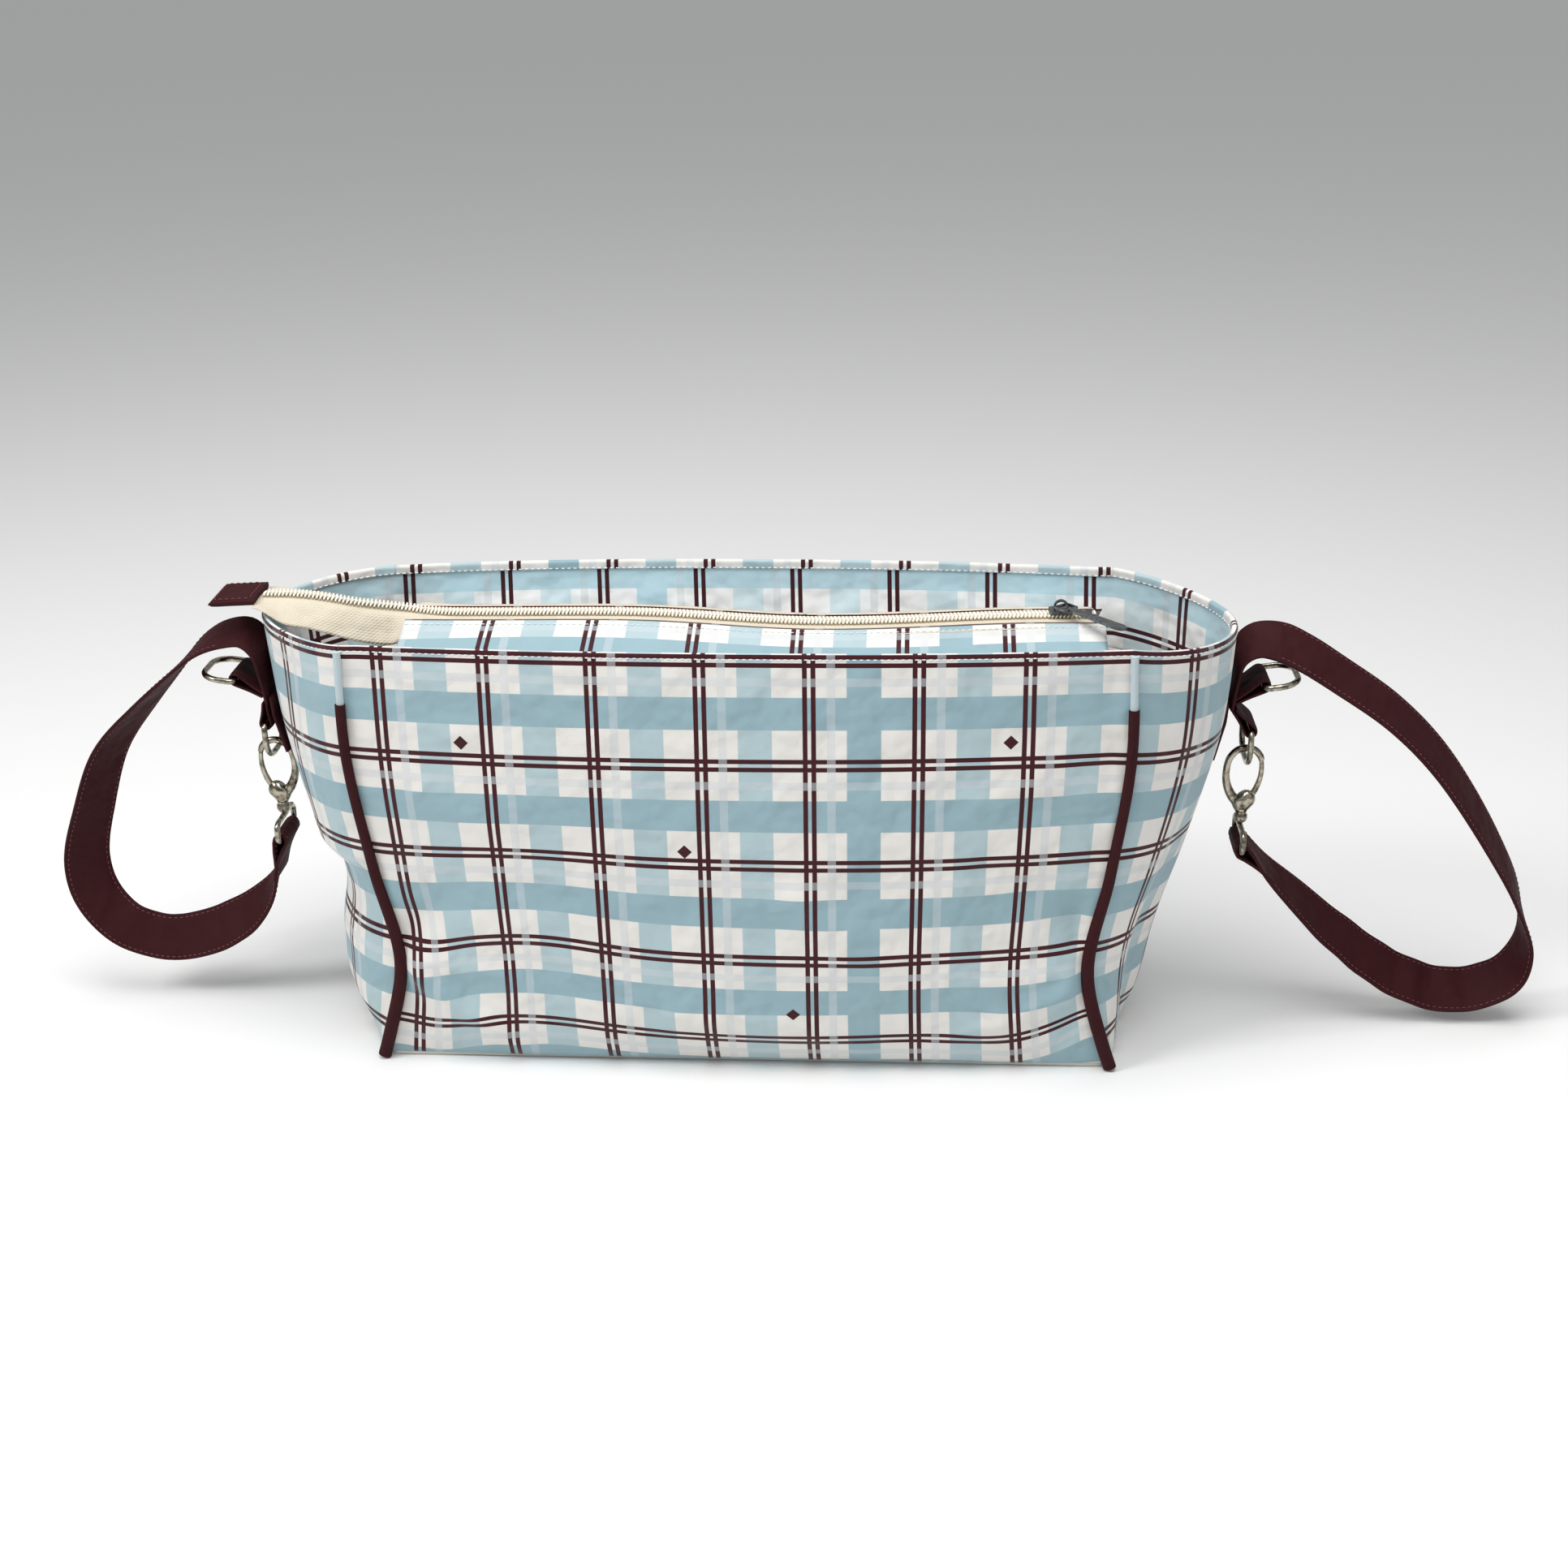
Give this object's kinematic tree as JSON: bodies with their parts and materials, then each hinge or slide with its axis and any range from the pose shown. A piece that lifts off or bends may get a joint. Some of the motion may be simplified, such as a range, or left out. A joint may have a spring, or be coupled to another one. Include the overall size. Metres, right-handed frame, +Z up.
{
  "type": "pram organiser bag",
  "caption": "Plaid cloth pram organiser bag with a recessed zip, burgundy piping and two clip-on strap loops.",
  "frame": {"origin": "centre of the flat underside, on the surface the bag stands on", "axes": "+X to the right seen from the front, +Y from front to back, +Z up"},
  "size_m": [0.7671, 0.1497, 0.2311],
  "materials": {
    "plaid_cloth": "matte",
    "burgundy_cloth": "matte",
    "lining_cloth": "matte",
    "zip_tape": "matte",
    "zip_coil": "satin",
    "board": "matte",
    "gunmetal": "satin",
    "nickel": "polished"
  },
  "bodies": {
    "root": {"front_panel": "plaid_cloth", "back_panel": "plaid_cloth", "left_gusset": "plaid_cloth", "right_gusset": "plaid_cloth", "rim_facing": "plaid_cloth", "front_placket": "plaid_cloth", "back_placket": "plaid_cloth", "left_front_seam_cover": "plaid_cloth", "left_back_seam_cover": "plaid_cloth", "right_front_seam_cover": "plaid_cloth", "right_back_seam_cover": "plaid_cloth", "base_panel": "plaid_cloth", "base_board": "board", "lining": "lining_cloth", "left_front_piping": "burgundy_cloth", "left_back_piping": "burgundy_cloth", "right_front_piping": "burgundy_cloth", "right_back_piping": "burgundy_cloth", "zip_end_tab": "burgundy_cloth", "front_zip_tape": "zip_tape", "back_zip_tape": "zip_tape", "front_zip_coil": "zip_coil", "back_zip_coil": "zip_coil", "zip_stops": "gunmetal", "right_strap_anchor": "burgundy_cloth", "left_strap_anchor": "burgundy_cloth"},
    "zip_slider_body": {"zip_slider": "gunmetal"},
    "zip_puller_body": {"zip_puller": "gunmetal"},
    "right_loop": {"right_strap": "burgundy_cloth", "right_upper_ring_tab": "burgundy_cloth", "right_lower_ring_tab": "burgundy_cloth", "right_swivel_ring": "nickel"},
    "right_upper_ring_body": {"right_upper_ring": "nickel"},
    "right_lower_ring_body": {"right_lower_ring": "nickel"},
    "right_hook_body": {"right_hook": "nickel", "right_gate_rivet": "nickel"},
    "right_gate_body": {"right_gate": "nickel"},
    "left_loop": {"left_strap": "burgundy_cloth", "left_upper_ring_tab": "burgundy_cloth", "left_lower_ring_tab": "burgundy_cloth", "left_swivel_ring": "nickel"},
    "left_upper_ring_body": {"left_upper_ring": "nickel"},
    "left_lower_ring_body": {"left_lower_ring": "nickel"},
    "left_hook_body": {"left_hook": "nickel", "left_gate_rivet": "nickel"},
    "left_gate_body": {"left_gate": "nickel"}
  },
  "joints": [
    {"name": "zip_slide", "type": "slide", "parent": "root", "child": "zip_slider_body", "axis": [1, 0, 0], "range_m": [-0.3, 0]},
    {"name": "puller_flip", "type": "hinge", "parent": "zip_slider_body", "child": "zip_puller_body", "pos_m": [0.157, 0.006, 0.22415], "axis": [-0.766, -0.6428, 0], "range_deg": [0, 150]},
    {"name": "right_loop_lift", "type": "hinge", "parent": "root", "child": "right_loop", "pos_m": [0.242, 0, 0.1785], "axis": [0, -1, 0], "range_deg": [0, 25]},
    {"name": "right_upper_ring_turn", "type": "hinge", "parent": "right_loop", "child": "right_upper_ring_body", "pos_m": [0.256, 0, 0.189], "axis": [0, -1, 0], "range_deg": [-30, 0]},
    {"name": "right_lower_ring_turn", "type": "hinge", "parent": "right_loop", "child": "right_lower_ring_body", "pos_m": [0.251, 0, 0.165], "axis": [0, -1, 0], "range_deg": [-6, 0]},
    {"name": "right_hook_swivel", "type": "hinge", "parent": "right_loop", "child": "right_hook_body", "pos_m": [0.251, 0, 0.117], "axis": [0, 0, 1], "range_deg": [-35, 35]},
    {"name": "right_gate_open", "type": "hinge", "parent": "right_hook_body", "child": "right_gate_body", "pos_m": [0.2542, 0, 0.124], "axis": [0, -1, 0], "range_deg": [0, 12], "stiffness_Nm_per_rad": 0.004, "springref_deg": -17.19},
    {"name": "left_loop_lift", "type": "hinge", "parent": "root", "child": "left_loop", "pos_m": [-0.242, 0, 0.1785], "axis": [0, 1, 0], "range_deg": [0, 25]},
    {"name": "left_upper_ring_turn", "type": "hinge", "parent": "left_loop", "child": "left_upper_ring_body", "pos_m": [-0.256, 0, 0.189], "axis": [0, 1, 0], "range_deg": [-30, 0]},
    {"name": "left_lower_ring_turn", "type": "hinge", "parent": "left_loop", "child": "left_lower_ring_body", "pos_m": [-0.243, 0, 0.165], "axis": [0, 1, 0], "range_deg": [-6, 0]},
    {"name": "left_hook_swivel", "type": "hinge", "parent": "left_loop", "child": "left_hook_body", "pos_m": [-0.243, 0, 0.117], "axis": [0, 0, 1], "range_deg": [-35, 35]},
    {"name": "left_gate_open", "type": "hinge", "parent": "left_hook_body", "child": "left_gate_body", "pos_m": [-0.2462, 0, 0.124], "axis": [0, 1, 0], "range_deg": [0, 12], "stiffness_Nm_per_rad": 0.004, "springref_deg": -17.19}
  ]
}
